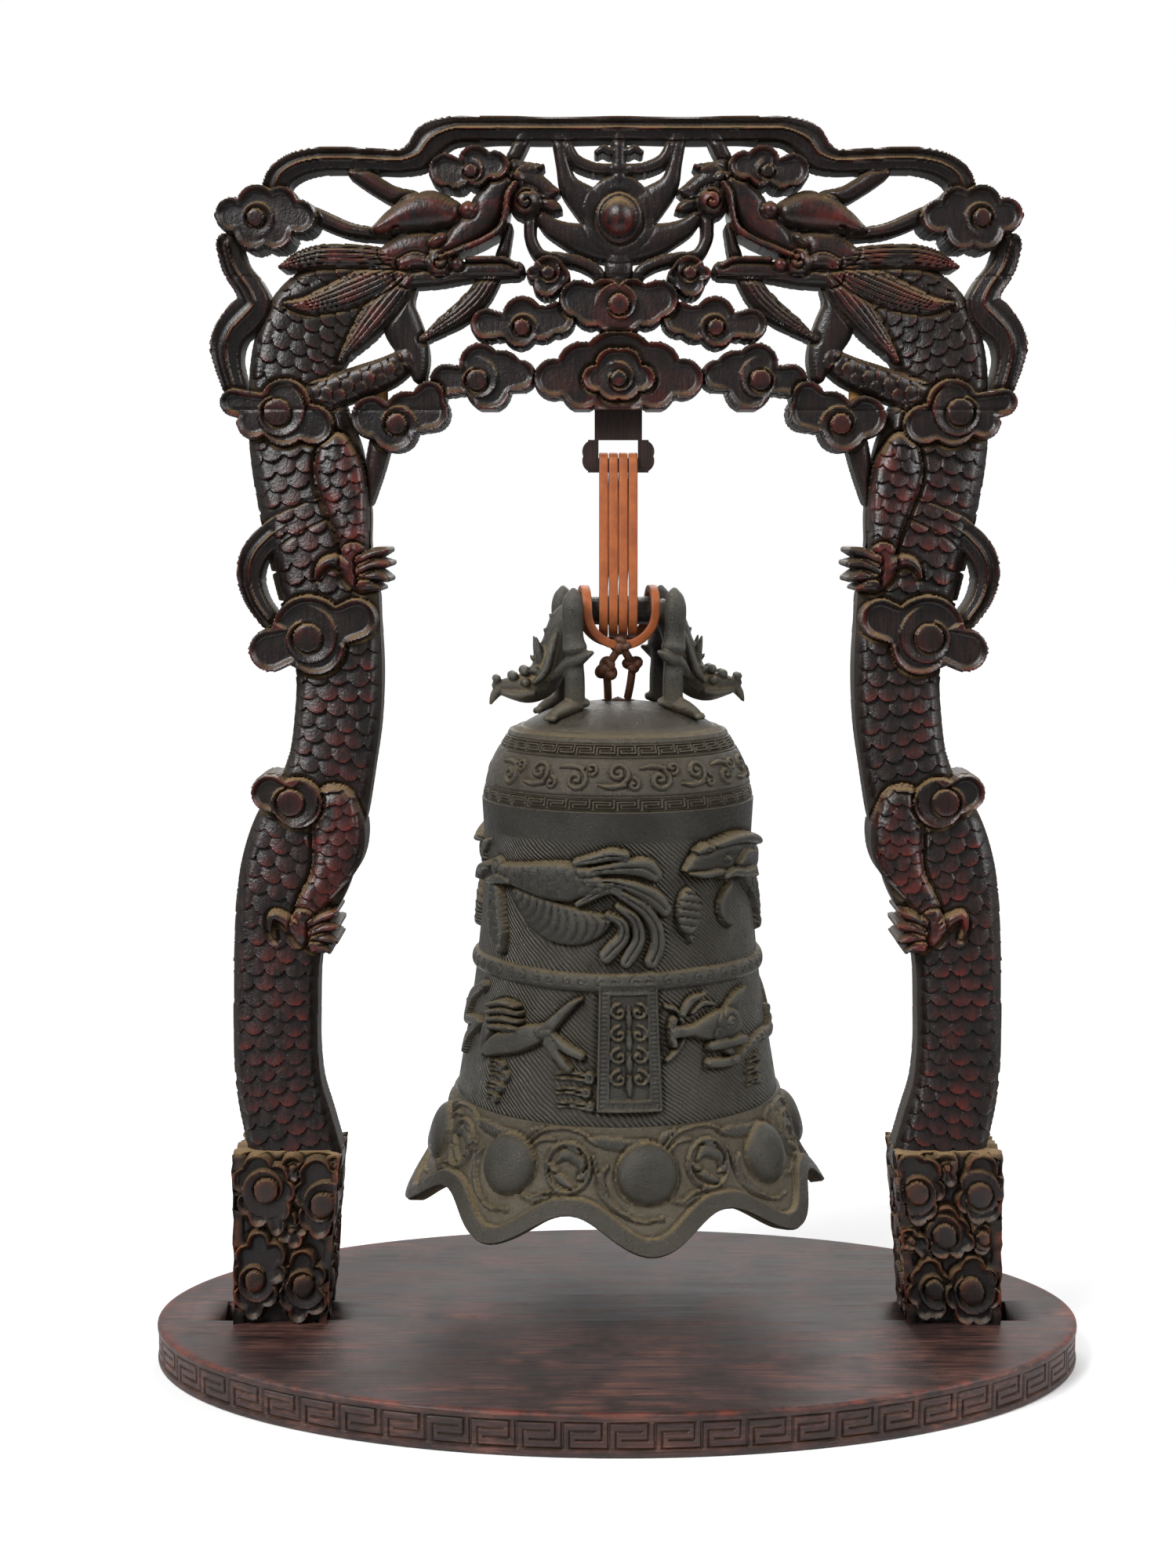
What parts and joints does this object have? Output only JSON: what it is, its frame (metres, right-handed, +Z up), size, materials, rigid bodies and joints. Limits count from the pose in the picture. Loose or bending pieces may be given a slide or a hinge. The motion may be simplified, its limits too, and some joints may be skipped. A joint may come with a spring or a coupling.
{
  "type": "bronze bell on stand",
  "caption": "Cast bell with a lobed rim, hung by a leather lace from a carved and pierced wooden arch on an oval base.",
  "frame": {"origin": "centre of the oval base's underside", "axes": "+Z up, -Y towards the front, +X to the viewer's right"},
  "size_m": [0.3334, 0.1848, 0.4371],
  "materials": {
    "carved_wood": "aged lacquer, satin",
    "base_wood": "aged lacquer, satin",
    "dowel_wood": "raw",
    "bronze": "dark patina",
    "leather_lace": "smooth"
  },
  "bodies": {
    "stand": {"base_board": "base_wood", "foot_block_left": "carved_wood", "foot_block_right": "carved_wood", "leg_left": "carved_wood", "leg_right": "carved_wood", "leg_dowels_left": "dowel_wood", "leg_dowels_right": "dowel_wood", "arch_lower_board": "carved_wood", "arch_upper_board": "carved_wood", "board_dowels": "dowel_wood", "hanger_tab": "carved_wood"},
    "sling": {"lace_sling": "leather_lace"},
    "bell": {"bell_body": "bronze", "bell_crown": "bronze", "lace_tie": "leather_lace", "lace_knots": "leather_lace"},
    "clapper_lace": {"clapper_lace": "leather_lace"},
    "clapper": {"clapper": "bronze"}
  },
  "joints": [
    {"name": "sling_swing", "type": "hinge", "parent": "stand", "child": "sling", "pos_m": [0, 0, 0.3205], "axis": [1, 0, 0], "range_deg": [-20, 20]},
    {"name": "bell_nod", "type": "hinge", "parent": "sling", "child": "bell", "pos_m": [0, 0, 0.2702], "axis": [0.989, 0.1478, 0], "range_deg": [-12, 12]},
    {"name": "clapper_lace_sway", "type": "hinge", "parent": "bell", "child": "clapper_lace", "pos_m": [0, 0, 0.2368], "axis": [-0.1478, 0.989, 0], "range_deg": [-12, 12]},
    {"name": "clapper_swing", "type": "hinge", "parent": "clapper_lace", "child": "clapper", "pos_m": [0, 0, 0.1708], "axis": [0.989, 0.1478, 0], "range_deg": [-22, 22]}
  ]
}
